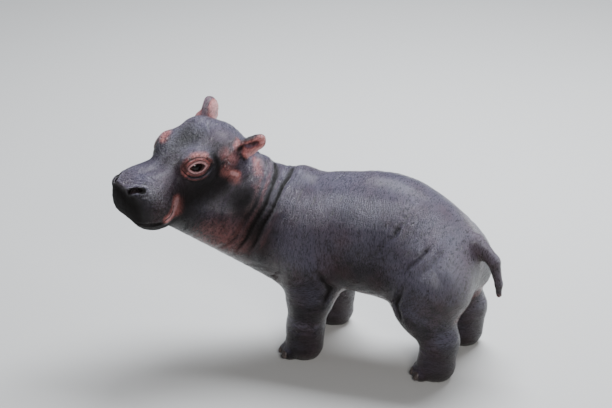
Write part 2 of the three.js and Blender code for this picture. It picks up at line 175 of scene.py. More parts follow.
def in_axes(p, origin, axes):
    q = [p[i] - np.float32(origin[i]) for i in range(3)]
    return tuple(q[0] * np.float32(a[0]) + q[1] * np.float32(a[1]) + q[2] * np.float32(a[2])
                 for a in axes)


def in_head(p):
    return in_axes(p, HEAD_AT, (FORWARD, LEFT, UP))


def from_head(a, b, c):
    return HEAD_AT + FORWARD * a + LEFT * b + UP * c


def mirrored(q):
    return (q[0], np.abs(q[1]), q[2])


def slit(q):
    """Distance in the plane of the eyelids from the edge of the opening, negative within it."""
    s, t, _ = in_axes(q, EYE_AT, (EYE_FRONT, EYE_UP, EYE_OUT))
    top = (SLIT_HALF**2 + SLIT_TOP**2) / (2 * SLIT_TOP)
    bottom = (SLIT_HALF**2 + SLIT_BOTTOM**2) / (2 * SLIT_BOTTOM)
    above = np.sqrt(s * s + (t + top - SLIT_TOP) ** 2) - top
    below = np.sqrt(s * s + (t - bottom + SLIT_BOTTOM) ** 2) - bottom
    return np.maximum(above, below)


def head(q):
    """The plain head, from points in its own frame."""
    s = mirrored(q)
    d = ball(s, (22, 0, -27), (70, 80, 78))                          # crown
    d = melt(d, ball(s, (76, 0, -12), (78, 80, 58)), 45)             # forehead
    d = melt(d, ball(s, (38, 50, 8), (44, 32, 44)), 30)              # temples
    d = melt(d, ball(s, (36, 0, -84), (104, 90, 84)), 50)            # cheeks
    d = melt(d, limb(s, (115, 26, -48), (226, 30, -56), 50, 44), 40)   # bridge of the snout
    d = melt(d, ball(s, (246, 0, -66), (68, 72, 56)), 40)            # muzzle
    d = melt(d, ball(s, (222, 44, -98), (64, 40, 47)), 30)           # lip pads
    d = melt(d, ball(s, (274, 34, -30), (25, 20, 16)), 18)           # nostril mounds
    d = melt(d, limb(s, (50, 0, -112), (214, 0, -114), 56, 36), 30)    # lower jaw
    d = melt(d, ball(s, (114, 57, 6), (40, 26, 34)), 28)             # brows
    return scoop(d, (311 + s[2] * 0.06) - s[0], 24)                  # flat front of the muzzle


def eyelids(d, q):
    """The lids stand round the ball of the eye in a shallow socket, open along the slit."""
    s = mirrored(q)
    d = scoop(d, ball(s, (120, 94, 0), (34, 15, 23)), 14)
    d = melt(d, ball(s, EYE_AT, (EYE_RADIUS + LID,) * 3), 7)
    depth = in_axes(s, EYE_AT, (EYE_FRONT, EYE_UP, EYE_OUT))[2]
    d = scoop(d, np.maximum(slit(s), 7 - depth), 2.0)
    return scoop(d, limb(s, EYE_AT + EYE_FRONT * 18 + EYE_OUT * 19, (152, 75, -6), 3.4, 1.5), 3)


def nostrils(d, q):
    s = mirrored(q)
    front, top, rear = NOSTRIL
    arch = melt(limb(s, front, top, 6.4, 8.2), limb(s, top, rear, 8.2, 4.4), 3)
    deep = limb(s, (282, 36, -26), (266, 44, -28), 9, 7)
    return scoop(d, melt(arch, deep, 8), 2.5)


def left_ear(q):
    s = in_axes(q, *LEFT_EAR)
    d = melt(limb(s, (0, 2, 0), (26, 4, 0), 18, 15), ball(s, (43, 6, 0), (30, 19, 12)), 12)     # blade
    d = melt(d, limb(s, (44, 2, 0), (66, -2, 0), 15, 9), 10)                                    # tip
    d = melt(d, ball(s, (18, 17, 4), (22, 13, 11)), 10)                                         # lobe
    cup = melt(ball(s, (40, 7, 14), (25, 14, 19)), limb(s, (44, 3, 12), (64, -1, 10), 10, 5), 8)
    canal = limb(s, (14, -3, 16), (26, 0, 0), 7, 9)
    return scoop(d, melt(cup, canal, 6), 3)


def right_ear(q):
    s = in_axes((q[0], -q[1], q[2]), *RIGHT_EAR)
    d = melt(limb(s, (0, 0, 0), (26, 0, 0), 20, 17), ball(s, (43, 0, 0), (34, 27, 13)), 12)
    d = melt(d, ball(s, (10, -4, 14), (22, 22, 16)), 12)
    d = melt(d, ball(s, (40, 0, -8), (28, 24, 12)), 12)
    cup = ball(s, (44, 0, 14), (28, 20, 19))
    canal = limb(s, (14, 0, 22), (26, 0, 4), 8, 9)
    return scoop(d, melt(cup, canal, 6), 3)


def ears(q):
    return np.where(q[1] > 0, left_ear(q), right_ear(q))


def neck(p):
    d = limb(p, (-200, -10, 296), from_head(30, 0, -112), 124, 94)
    d = melt(d, limb(p, (-240, -6, 342), (-330, -22, 386), 82, 72), 40)
    d = melt(d, limb(p, (-330, -22, 386), from_head(8, 0, -38), 72, 68), 30)
    return melt(d, limb(p, (-250, -30, 262), from_head(116, 10, -122), 96, 82), 40)


def calf(p):
    """The whole body, from points in millimetres."""
    q = in_head(p)
    d = melt(trunk(p), legs(p), 40)
    d = melt(d, tail(p), 16)
    d = melt(d, neck(p), 40)
    d = melt(d, head(q), 30)
    d = melt(d, ears(q), 12)
    d = nostrils(eyelids(d, q), q)
    return scoop(d, p[2], 1)


# ---- Folds and wrinkles -------------------------------------------------------------------
# What the hide does over that shape: rolls where the neck turns, creases at the flank and
# thigh, rings round the eyes, the slit of the mouth, and fine wrinkles that follow the body.
# Each is a height in millimetres along the outward normal.
GROOVES = ((8, 6), (11, 9), (10, 8))       # depth and width of the neck's grooves, from the front
ROLLS = ((4, 8), (7, 8), (4, 5), (6, 10))  # height and width of the rolls before, between and after them
FIRST_GROOVE, GROOVE_GAP = -325, 30        # along X beside the neck
FOLD_SIDE, FOLD_HEIGHT = -105, 400         # where beside the neck those places are measured
FOLD_TURN, FOLD_TILT = (10, 40), (25, 35)  # degrees to the left and leaning back, rear and front
CREASES = (                                # route in side view (x, height), depth and width
    (((90, 425), (55, 370), (10, 315)), 2.4, 6.0),                    # flank
    (((165, 370), (125, 325), (85, 285)), 2.4, 6.0),                  # thigh
    (((200, 360), (165, 325), (135, 285)), 1.8, 6.0),
    (((-195, 470), (-215, 380)), 2.2, 6.0),                           # shoulder
    (((-160, 440), (-165, 380)), 2.0, 4.0),
    (((-80, 460), (-120, 375)), 1.8, 6.0))                            # behind the shoulder
LEG_FOLD = ((60, 260), (85, 205), (65, 150))  # where leg meets belly: distance in from the foot, height
ANKLE_FOLD = ((-35, 90), (0, 85), (35, 90))   # across each leg above the toes
CRACKED = (((80, 410), (30, 340)), ((150, 350), (105, 300)))          # cracks by the deepest creases
SPINE_BEND = -235.0                        # where the back turns up into the neck
NECK_WAY = np.array((-0.80, -0.27, 0.54))  # the way the neck's skin is gathered


def lattice(i, j, k, seed):
    """A fixed number from 0 to 1 for each point of a whole-number grid."""
    n = i * 374761393 + j * 668265263 + k * 2147483647 + seed * 144665
    n = (n ^ (n >> 13)) * 1274126177
    return ((n ^ (n >> 16)) & 0xFFFF).astype(np.float32) / 65535


def mottle(p, size, seed):
    """Smooth unevenness from -1 to 1, with lumps of the given size along each axis."""
    cells, parts = [], []
    for i in range(3):
        u = p[i] / size[i]
        low = np.floor(u)
        cells.append(low.astype(np.int64))
        f = u - low
        parts.append(f * f * (3 - 2 * f))
    total = 0
    for di in (0, 1):
        for dj in (0, 1):
            for dk in (0, 1):
                share = 1
                for part, d in zip(parts, (di, dj, dk)):
                    share = share * (part if d else 1 - part)
                total = total + share * lattice(cells[0] + di, cells[1] + dj, cells[2] + dk, seed)
    return total * 2 - 1


def trench(gap, width):
    """A crease with a sharp bottom and eased shoulders, 1 at its middle."""
    softened = np.sqrt(gap * gap + 2.0)
    return np.exp(-softened / width * 1.4)


def mound(gap, width):
    return np.exp(-((gap / width) ** 2))


def route_gap(p, route):
    return np.minimum.reduce([along(p, a, b)[1] for a, b in zip(route, route[1:])])


def ease(low, high, x):
    t = np.clip((x - low) / (high - low), 0, 1)
    return t * t * (3 - 2 * t)


def neck_folds(p):
    height = 0
    sway = mottle(p, (40, 40, 40), 3) * 3
    grooves = [(i, -depth, width) for i, (depth, width) in enumerate(GROOVES)]
    rolls = [(i - 0.5, rise, width) for i, (rise, width) in enumerate(ROLLS)]
    for step, rise, width in grooves + rolls:
        ahead = 1 - step / (len(GROOVES) - 1)
        turn, tilt = (math.radians(rear + (front - rear) * ahead)
                      for rear, front in (FOLD_TURN, FOLD_TILT))
        facing = (-math.cos(turn) * math.cos(tilt), -math.sin(turn) * math.cos(tilt), math.sin(tilt))
        away = (p[0] - FIRST_GROOVE - step * GROOVE_GAP, p[1] - FOLD_SIDE, p[2] - FOLD_HEIGHT)
        off = sum(a * v for a, v in zip(away, facing)) + sway
        fade = 1 - ease(90, 170, np.sqrt(sum(a * a for a in away)))
        shape = trench(off, width) if rise < 0 else mound(off, width)
        height = height + rise * fade * shape
    return height


def side_gap(p, route):
    """Distance in side view from a route drawn on the flank."""
    return route_gap((p[0], p[1] * 0, p[2]), [(x, 0, z) for x, z in route])


def body_creases(p):
    near = np.maximum.reduce([mound(side_gap(p, route), 30) for route in CRACKED])
    height = -1.4 * near * np.clip(1 - 3.4 * np.abs(mottle(p, (11, 11, 11), 31)), 0, 1)
    sway = mottle(p, (26, 26, 26), 5) * 3
    routes = list(CREASES)
    for foot, inward in ((FRONT_FOOT[0], 1), (HIND_FOOT[0], -1)):
        routes.append(([(foot + inward * reach, z) for reach, z in LEG_FOLD], 4.0, 8.0))
        routes.append(([(foot + reach, z) for reach, z in ANKLE_FOLD], 2.0, 5.0))
    for route, depth, width in routes:
        gap = side_gap(p, route)
        middle = np.mean(route, axis=0)
        half = math.dist(route[0], route[-1]) / 2
        out = np.sqrt((p[0] - middle[0]) ** 2 + (p[2] - middle[1]) ** 2)
        fade = 1 - ease(0.3 * half, 1.3 * half, out)
        lip = 0.5 * mound(gap - width * 2.0, width)
        height = height + fade * depth * (lip - trench(gap + sway, width))
    return height * ease(35, 65, np.abs(p[1]))


def grain(p):
    """Coordinates that are close together across the wrinkles and stretched along them."""
    sway = mottle(p, (55, 55, 55), 11) * 7 + mottle(p, (23, 23, 23), 14) * 2
    past = (p[0] - SPINE_BEND) * -NECK_WAY[0] - (p[1] + 40) * NECK_WAY[1] \
        - (p[2] - 400) * NECK_WAY[2]
    turn = ease(-60, 120, past * -1)
    across = p[0] * (1 - turn) + (SPINE_BEND + past) * turn + sway
    low = 1 - ease(80, 250, p[2])
    across = across * (1 - low) + (p[2] * 1.2 + sway) * low
    slack = 0.28 + 0.72 * ease(150, 220, in_head(p)[0])
    return across, p[1] * slack + low * p[0] * 0.2, p[2] * (slack - low * 0.2)


def wrinkles(p):
    """Fine wrinkles: upright on the trunk, gathered round the neck, ringed on the legs."""
    g = grain(p)
    broad = 1 - 2 * np.abs(mottle(g, (13, 13, 13), 12))
    fine = 1 - 2 * np.abs(mottle(g, (7, 8, 8), 13))
    at_neck = ease(-210, -280, p[0]) * (1 - ease(0, 70, in_head(p)[0]))
    lumps = mottle(p, (5.5, 5.5, 5.5), 17)
    muzzle = ease(170, 225, in_head(p)[0])
    lines = (broad * 0.7 + fine * 0.55) * (0.8 + 0.9 * at_neck)
    return lines * (1 - 0.6 * muzzle) + lumps * 0.6 * muzzle


def face(p, q):
    """Rings round the eyes, the rims of the nostrils, the slit of the mouth, and the lip pads."""
    s = mirrored(q)
    e = slit(s)
    side, lift, depth = in_axes(s, EYE_AT, (EYE_FRONT, EYE_UP, EYE_OUT))
    at_eye = ease(4, 12, depth) * (1 - ease(40, 62, np.sqrt(side**2 + lift**2)))
    over = ease(-4, 5, lift)
    ring = over * (0.5 * mound(e - 3, 2.6) - 2.2 * trench(e - 7, 2.4) + 0.8 * mound(e - 11, 3.0)
                   - 2.2 * trench(e - 15.5, 2.6) + 1.0 * mound(e - 22, 4.5) - 1.0 * trench(e - 29, 3.2))
    under = (1 - over) * (
        0.6 * mound(e - 3, 2.8) - 1.6 * trench(e - 7.5, 2.4) + 0.8 * mound(e - 12, 3.0)
        - 2.8 * trench(e - 17, 3.0) + 1.8 * mound(e - 22, 3.2) - 2.6 * trench(e - 27.5, 3.0))
    height = at_eye * (ring + under)

    rim = route_gap(s, NOSTRIL)
    height = height + 1.8 * mound(rim - 12, 3.0) * ease(-32, -14, s[2])
    height = height - 2.2 * trench(rim - 19, 2.8) * ease(-26, -8, s[2]) * (1 - ease(262, 284, s[0]))
    bridge = route_gap(s, ((290, 0, -19), (288, 22, -19), (288, 32, -22)))
    behind = route_gap(s, ((276, 0, -8), (276, 20, -9)))
    height = height + 3.4 * mound(bridge, 5.0) - 1.8 * trench(behind, 4.0)

    gap = route_gap(s, LIPS)
    rising = ease(-104, -76, s[2])
    height = height - (5.5 - 3.5 * rising) * trench(gap, 3.4 + 1.5 * rising) + 1.2 * mound(gap - 8, 5)
    pad_edge = route_gap(s, ((196, 82, -46), (192, 84, -62), (196, 85, -78), (198, 86, -92)))
    swelling = route_gap(s, ((186, 86, -64), (188, 87, -84)))
    height = height - 2.2 * mound(pad_edge, 7) + 1.4 * mound(swelling, 9)
    for shift, deep in ((0, 0.9), (9, 0.8), (18, 0.6)):
        line = route_gap(s, ((188 - shift, 88, -60), (190 - shift, 88, -78), (196 - shift, 88, -94)))
        height = height - deep * trench(line + mottle(p, (9, 9, 9), 21) * 1.5, 2.4)
    return height


def relief(p):
    q = in_head(p)
    return neck_folds(p) + body_creases(p) + wrinkles(p) + face(p, q)


# ---- Skin ---------------------------------------------------------------------------------
# One closed hide with no seam, drawn over the body shape as a net that is finest at the face
# and widens toward the rump. It is drawn tight to the shape, then raised and creased.
NET_STEP = 2.3                             # size of a mesh of the net at the face, mm
FACE_MIDDLE = from_head(190, 0, -30)
FINE_REACH = 102.0                         # the net keeps its finest size this far from there
WIDEN = 1.6
NET_BLOCK = 12                             # the net is only worked out in blocks near the skin
BLOCKS_AT_ONCE = 300
HALF_DIAGONAL = 0.87                       # from the middle of a block to its corner, in sides
BODY_EDGE = 12                             # room left round the CAD's box, mm


def spread(u):
    """From the even net to the calf: nothing changes near the face, the rest is stretched."""
    far = np.sqrt((u**2).sum(-1, keepdims=True))
    grow = np.maximum(far / FINE_REACH, 1) ** (WIDEN - 1)
    return (FACE_MIDDLE + u * grow).astype(np.float32)


def drawn_in(length):
    return np.sign(length) * min(abs(length), FINE_REACH * (abs(length) / FINE_REACH) ** (1 / WIDEN))


def at_points(x):
    return calf((x[..., 0], x[..., 1], x[..., 2]))


def net_values():
    low, high = (np.array(v) * 1000 for v in cad_box)
    low, high = low - HOME - BODY_EDGE, high - HOME + BODY_EDGE
    start = np.array([drawn_in(low[i] - FACE_MIDDLE[i]) for i in range(3)])
    stop = np.array([drawn_in(high[i] - FACE_MIDDLE[i]) for i in range(3)])
    blocks = np.ceil((stop - start) / (NET_STEP * NET_BLOCK)).astype(int)
    centres = np.stack(np.meshgrid(*[start[i] + (np.arange(blocks[i]) + 0.5) * NET_STEP * NET_BLOCK
                                     for i in range(3)], indexing="ij"), -1)
    rough = at_points(spread(centres))
    stretch = WIDEN * np.maximum(np.sqrt((centres**2).sum(-1)) / FINE_REACH, 1) ** (WIDEN - 1)
    near = np.abs(rough) < HALF_DIAGONAL * NET_STEP * NET_BLOCK * stretch * 1.35 + 8
    sign = np.where(rough < 0, np.float32(-1e3), np.float32(1e3))
    values = sign.repeat(NET_BLOCK, 0).repeat(NET_BLOCK, 1).repeat(NET_BLOCK, 2)
    values = np.pad(values, ((0, 1),) * 3, mode="edge")
    offsets = np.stack(np.meshgrid(*[np.arange(NET_BLOCK + 1)] * 3, indexing="ij"), -1)
    todo = np.argwhere(near)
    for some in np.array_split(todo, max(1, len(todo) // BLOCKS_AT_ONCE)):
        place = some[:, None, None, None] * NET_BLOCK + offsets
        inside = at_points(spread(start + place * NET_STEP))
        values[place[..., 0], place[..., 1], place[..., 2]] = inside
    return values, start


def net_faces(values, start):
    """One point in each cell that the skin passes through, and a four-sided face for each edge."""
    within = values < 0
    corners = [(i, j, k) for i in (0, 1) for j in (0, 1) for k in (0, 1)]
    wide, deep, tall = (n - 1 for n in values.shape)
    count = sum(within[i:wide + i, j:deep + j, k:tall + k].astype(np.uint8) for i, j, k in corners)
    cells = np.argwhere((count > 0) & (count < 8))
    number = np.full(count.shape, -1, np.int64)
    number[tuple(cells.T)] = np.arange(len(cells))
    total = np.zeros((len(cells), 3))
    hits = np.zeros(len(cells))
    value = {c: values[tuple((cells + c).T)] for c in corners}
    for axis in range(3):
        for c in corners:
            if c[axis]:
                continue
            other = tuple(1 if i == axis else c[i] for i in range(3))
            crossed = (value[c] < 0) != (value[other] < 0)
            place = np.zeros((crossed.sum(), 3)) + c
            place[:, axis] = value[c][crossed] / (value[c][crossed] - value[other][crossed])
            total[crossed] += place
            hits[crossed] += 1
    points = start + (cells + total / hits[:, None]) * NET_STEP
    faces = []
    for axis in range(3):
        b, c = (axis + 1) % 3, (axis + 2) % 3
        first = [slice(None)] * 3
        second = [slice(None)] * 3
        first[axis], second[axis] = slice(0, -1), slice(1, None)
        one, two = within[tuple(first)], within[tuple(second)]
        for flipped, edges in ((False, np.argwhere(one & ~two)), (True, np.argwhere(~one & two))):
            around = []
            for db, dc in ((-1, -1), (0, -1), (0, 0), (-1, 0)):
                cell = edges.copy()
                cell[:, b] += db
                cell[:, c] += dc
                around.append(number[tuple(cell.T)])
            around = np.stack(around, 1)
            faces.append(around[:, ::-1] if flipped else around)
    return points, np.concatenate(faces)


def slope_at(x, step=0.5):
    sides = []
    for i in range(3):
        ahead, behind = x.copy(), x.copy()
        ahead[:, i] += step
        behind[:, i] -= step
        sides.append((at_points(ahead) - at_points(behind)) / (2 * step))
    return np.stack(sides, 1)


net, net_start = net_values()
even_points, skin_faces = net_faces(net, net_start)
skin_points = spread(even_points)
for _ in range(3):
    slope = slope_at(skin_points)
    pull = slope * (at_points(skin_points) / np.maximum((slope**2).sum(1), 1e-4))[:, None]
    length = np.linalg.norm(pull, axis=1, keepdims=True)
    skin_points = skin_points - pull * np.minimum(1, 3 / np.maximum(length, 1e-6))
outward = slope_at(skin_points)
outward /= np.linalg.norm(outward, axis=1, keepdims=True)
spots = tuple(skin_points.T)
raised = relief(spots)
raised = raised * ease(0, 14, skin_points[:, 2])           # the soles stay flat
skin_points = skin_points + outward * raised[:, None].astype(np.float32)
skin_points[:, 2] = np.maximum(skin_points[:, 2], 0)


def make_mesh(name, points, faces):
    """A mesh object from points in metres and faces of equal corners."""
    mesh = bpy.data.meshes.new(name)
    corners = faces.shape[1]
    mesh.vertices.add(len(points))
    mesh.vertices.foreach_set("co", np.asarray(points, np.float32).ravel())
    mesh.loops.add(faces.size)
    mesh.loops.foreach_set("vertex_index", faces.astype(np.int32).ravel())
    mesh.polygons.add(len(faces))
    mesh.polygons.foreach_set("loop_start", np.arange(0, faces.size, corners, dtype=np.int32))
    mesh.polygons.foreach_set("use_smooth", np.full(len(faces), True))
    mesh.update(calc_edges=True)
    mesh.validate()
    piece = bpy.data.objects.new(name, mesh)
    bpy.context.scene.collection.objects.link(piece)
    return piece


skin = make_mesh("skin", (skin_points + HOME) / 1000, skin_faces)


# Where the hide changes colour at each point of the net: 0 not at all, 1 fully
# Besides pink skin, the darkening is mostly painted shade in creases, recesses, the throat and the shaded
# front and underside of the head; some of it is darker skin.
def eye_marks(s):
    e = slit(s)
    side, lift, depth = in_axes(s, EYE_AT, (EYE_FRONT, EYE_UP, EYE_OUT))
    near = ease(0, 10, depth)
    rosy = 0.7 * near * (1 - ease(14, 30, e)) * ease(-14, 0, lift + 0.35 * side)
    rosy = np.maximum(rosy, 1.2 * near * (1 - ease(6, 13, e)))
    rosy = np.maximum(rosy, 0.95 * mound(route_gap(s, ((122, 74, 34), (98, 78, 27))), 13))
    rosy = np.maximum(rosy, 0.9 * mound(route_gap(s, ((146, 75, -3), (153, 75, -9))), 6))
    # Painted shade: dark lines in the two creases round the eye and along the edge of its opening.
    lines = np.maximum.reduce([mound(e - out, 1.8) for out in (7.4, 16.2)])
    dark = 0.95 * lines * near * (1 - ease(36, 46, np.abs(side)))
    ridges = ease(-2, -12, lift) * near * (1 - ease(20, 34, np.abs(side)))
    rosy = np.maximum(rosy, 0.42 * ridges * np.maximum(mound(e - 12, 2.5), mound(e - 22, 2.8)))
    dark = np.maximum(dark, 0.9 * near * mound(e - 0.5, 1.6))
    dark = np.maximum(dark, 0.8 * mound(route_gap(s, ((152, 68, 18), (151, 74, 6))), 12))
    dark = np.maximum(dark, 0.85 * mound(route_gap(s, ((70, 86, 20), (66, 90, -10), (74, 94, -34))), 11))
    return rosy, dark


def cheek_marks(s):
    rosy = 0.44 * mound(route_gap(s, ((42, 86, 16), (22, 92, -4))), 20)
    rosy = np.maximum(rosy, 1.25 * mound(route_gap(s, ((34, 100, -36), (22, 103, -44))), 10))
    rosy = np.maximum(rosy, 0.7 * mound(route_gap(s, ((50, 94, -24), (28, 104, -52))), 17))
    rosy = np.maximum(rosy, 0.85 * mound(route_gap(s, ((-16, 64, 18), (0, 80, 18))), 13))
    corner = route_gap(s, ((186, 80, -62), (196, 85, -80), (206, 87, -95), (222, 87, -103)))
    rosy = np.maximum(rosy, 1.3 * mound(corner, 12))
    rosy = np.maximum(rosy, 0.8 * mound(route_gap(s, ((184, 82, -74), (190, 85, -94))), 19))
    dark = 0.7 * mound(route_gap(s, ((52, 94, -24), (34, 100, -27), (14, 98, -30))), 3.5)
    # Painted shade: a broad darkening along the lower cheek.
    dark = np.maximum(dark, 0.8 * mound(route_gap(s, ((70, 96, -60), (150, 80, -70))), 48))
    return rosy, dark


def ear_marks(q):
    on_ear = 1 - ease(0, 12, ears(q))
    reach, over, out = in_axes(q, *LEFT_EAR)
    left = (q[1] > 0) * on_ear * ease(2, 18, reach)
    cup = ease(-4, 3, out) * ease(-15, -9, over)
    rosy = left * (0.2 + np.maximum(0.68 * cup, 0.9 * ease(10, 19, over)))
    dark = left * 0.75 * (1 - ease(-15, -7, over))
    # Painted shade in the hollow at the root of the left ear.
    canal = route_gap((reach, over, out), ((6, -4, 14), (20, -3, 4)))
    dark = np.maximum(dark, (q[1] > 0) * 1.1 * mound(canal, 8))
    reach, over, out = in_axes((q[0], -q[1], q[2]), *RIGHT_EAR)
    right = (q[1] < 0) * on_ear * ease(2, 18, reach)
    rosy = np.maximum(rosy, right * (0.24 + 0.75 * ease(-9, -17, out) + 0.4 * ease(2, 8, out)))
    dark = np.maximum(dark, (q[1] < 0) * 0.6 * on_ear * mound(reach - 10, 3))
    return rosy, dark


def skin_marks(p, height, outward):
    q = in_head(p)
    s = mirrored(q)
    facing_ahead = sum(outward[:, i] * FORWARD[i] for i in range(3))
    rosy, dark = (np.maximum.reduce(pair) for pair in zip(eye_marks(s), cheek_marks(s), ear_marks(q)))
    belly = (1 - ease(160, 240, p[2])) * (1 - ease(80, 150, np.abs(p[1]))) * ease(130, 160, p[2])
    rosy = np.maximum(rosy, 0.3 * belly)
    rosy = np.maximum(rosy, 0.42 * mound(route_gap(p, ((-420, -130, 330), (-350, -130, 330))), 60))
    rosy = np.maximum(rosy, 0.5 * mound(route_gap(q, ((-44, 94, -30), (-28, 122, -52))), 14))
    rosy = np.maximum(rosy, 0.75 * mound(route_gap(q, ((136, -48, 36), (118, -58, 40))), 13))
    rolls = np.clip(height / 3, 0, 1) * mound(route_gap(p, ((-318, -90, 430), (-320, -130, 350))), 70)
    rosy = np.maximum(rosy, 0.36 * rolls)
    front = ease(0.15, 1.0, facing_ahead) * ease(225, 290, q[0]) * (1 - ease(-34, -10, q[2]))
    pads = ease(176, 214, q[0]) * (1 - ease(-84, -50, q[2]))
    lower = ease(-100, -110, q[2]) * ease(150, 200, q[0])
    soft = 1 - np.minimum(rosy, 1)
    # Painted shade: darkening in the grooves of the neck and where other creases sink the hide, over the
    # flat front of the muzzle, under the lower lip and chin, in the throat and inside the nostrils. The
    # legs also darken towards the feet, and a patch on the forehead is darker.
    folds = neck_folds(p)
    dark = np.maximum(dark, np.clip(-folds / 5.5, 0, 1.0))
    dark = np.maximum(dark, np.clip((folds - height) / 2.6, 0, 0.95))
    dark = np.maximum(dark, 1.2 * front)
    dark = np.maximum(dark, 0.05 * pads * soft)
    dark = np.maximum(dark, 0.95 * lower * soft)
    shaded_throat = route_gap(p, ((-330, -125, 400), (-310, -135, 350)))
    dark = np.maximum(dark, 1.05 * mound(shaded_throat, 64) * soft)
    dark = np.maximum(dark, 0.4 * (1 - ease(40, 130, p[2])))
    dark = np.maximum(dark, 0.8 * mound(route_gap(s, ((110, 0, 40), (84, 16, 46))), 36) * soft)
    dark = np.maximum(dark, 1.2 - 1.2 * ease(7, 11, route_gap(s, NOSTRIL)))
    # The front of the muzzle loses some pink under its painted shade.
    rosy = rosy * (1 - 0.6 * np.clip(front, 0, 1))
    return {"rosy": rosy, "dark": dark, "face": ease(-20, 60, q[0])}


for mark, amount in skin_marks(spots, raised, outward).items():
    layer = skin.data.attributes.new(mark, "FLOAT", "POINT")
    layer.data.foreach_set("value", np.clip(amount, 0, 1.3).astype(np.float32))
layer = skin.data.attributes.new("grain", "FLOAT_VECTOR", "POINT")
layer.data.foreach_set("vector", (np.stack(grain(spots), 1) / 1000).astype(np.float32).ravel())


class Wire:
    """One socket of a finish. Arithmetic on it adds Math nodes to the same finish."""

    def __init__(self, finish, socket):
        self.finish, self.socket = finish, socket

    def maths(self, operation, *values):
        return self.finish.node("Math", {"operation": operation}, dict(enumerate(values)))

    def __add__(self, other):
        return self.maths("ADD", self, other)

    def __sub__(self, other):
        return self.maths("SUBTRACT", self, other)

    def __rsub__(self, other):
        return self.maths("SUBTRACT", other, self)

    def __mul__(self, other):
        return self.maths("MULTIPLY", self, other)

    __radd__, __rmul__ = __add__, __mul__

    def held(self, low, high):
        """Goes from 0 to 1 as this value goes from low to high."""
        return self.finish.node("MapRange", {"clamp": True}, {0: self, 1: low, 2: high, 3: 0.0, 4: 1.0})


class Finish:
    """A material being made, with its surface shader."""

    def __init__(self, name):
        self.material = bpy.data.materials.new(name)
        self.material.use_nodes = True
        self.tree = self.material.node_tree
        self.shader = self.tree.nodes["Principled BSDF"]

    def node(self, kind, settings=None, sockets=None, output=0):
        """Adds a node: its settings first, then values or wires for its sockets."""
        made = self.tree.nodes.new("ShaderNode" + kind)
        for name, value in (settings or {}).items():
            if name == "stops":
                ramp = made.color_ramp
                while len(ramp.elements) < len(value):
                    ramp.elements.new(0.5)
                for element, (position, colour) in zip(ramp.elements, value):
                    element.position = position
                    element.color = (*colour, 1)
            else:
                setattr(made, name, value)
        for key, value in (sockets or {}).items():
            self.feed(made.inputs[key], value)
        return Wire(self, made.outputs[output])

    def feed(self, socket, value):
        if isinstance(value, Wire):
            self.tree.links.new(value.socket, socket)
        elif socket.type == "RGBA":
            socket.default_value = (*value, 1)
        else:
            socket.default_value = value

    def mixed(self, amount, a, b):
        return self.node("Mix", {"data_type": "RGBA"}, {0: amount, 6: a, 7: b}, 2)

    def mark(self, name):
        return self.node("Attribute", {"attribute_name": name}, output=2)

    def noise(self, where, scale, detail=3.0, roughness=0.55):
        return self.node("TexNoise", {}, {
            "Vector": where, "Scale": scale, "Detail": detail, "Roughness": roughness})

    def cover(self, over, amount):
        """Lays another shader over this one by the amount."""
        both = self.node("MixShader", {}, {0: amount, 1: Wire(self, self.shader.outputs[0]), 2: over})
        self.tree.links.new(both.socket, self.tree.nodes["Material Output"].inputs["Surface"])

    def set(self, **sockets):
        for name, value in sockets.items():
            self.feed(self.shader.inputs[name.replace("_", " ")], value)


# SHADE is painted shade for the hide's downturned and darker parts; the lavender is a painted reflection
# of the sky on its upturned parts.
SHADE = (0.010, 0.007, 0.009)
SLATE = (0.034, 0.028, 0.038)
SKY_SHEEN_LAVENDER = (0.150, 0.138, 0.205)
ROSE = (0.68, 0.22, 0.20)
PALE_PINK = (0.96, 0.52, 0.53)
BLUSH = (0.12, 0.05, 0.05)
# Near-black for painted shade, and for the darkest skin.
DEEP_SHADE_AND_DARK_SKIN = (0.003, 0.002, 0.002)

hide = Finish("wet_hide")
place = hide.node("TexCoord", output=3)
facing_up = hide.node("SeparateXYZ", {}, {0: hide.node("NewGeometry", output=1)}, 2)
patches = hide.noise(place, 9.0, 4.0)
blotches = hide.noise(place, 38.0, 4.0, 0.6)
gathered = hide.node("Attribute", {"attribute_name": "grain"}, output=1)
streaks = hide.noise(gathered, 130.0, 4.0, 0.65)
threads = hide.noise(gathered, 300.0, 4.0, 0.7)
fine_face = hide.noise(place, 260.0, 3.0, 0.6)
at_face = hide.mark("face")
fine_streaks = hide.noise(gathered, 520.0, 3.0, 0.7)
wrinkle_lines = (streaks * 0.22 + threads * 0.36 + fine_streaks * 0.42) * (1 - at_face) \
    + (streaks * 0.25 + threads * 0.35 + fine_face * 0.4) * at_face
# Painted light: the hide runs from SHADE on surfaces turned down, through SLATE, to a painted lavender sky
# sheen on surfaces turned up. The patches, the wrinkle lines and the face's darker tone shift it too.
painted_light_and_tone = facing_up + (1 - at_face) * 0.42 + at_face * 0.18 + (patches - 0.5) * 0.3 + (wrinkle_lines - 0.5) * 1.3
base = hide.mixed(painted_light_and_tone.held(-0.35, 0.4), SHADE, SLATE)
base = hide.mixed(painted_light_and_tone.held(0.25, 1.05), base, SKY_SHEEN_LAVENDER)
base = hide.mixed(patches.held(0.42, 0.7) * 0.4, base, BLUSH)
rosy_mark = hide.mark("rosy")
rosy = (rosy_mark + ((blotches - 0.5) * 1.0 + (wrinkle_lines - 0.5) * 2.8) * rosy_mark).held(0.12, 0.92)
base = hide.mixed(rosy, base, ROSE)
base = hide.mixed((rosy_mark + (wrinkle_lines - 0.5) * 1.2).held(0.75, 1.2), base, PALE_PINK)
# Painted shade from the dark mark, with some darker skin, mixed toward near-black.
shade_and_dark_skin_mark = hide.mark("dark")
dark = (shade_and_dark_skin_mark + (blotches - 0.5) * 0.25 + (0.5 - wrinkle_lines) * 0.6).held(0.05, 0.9)
base = hide.mixed(dark * 0.95, base, DEEP_SHADE_AND_DARK_SKIN)
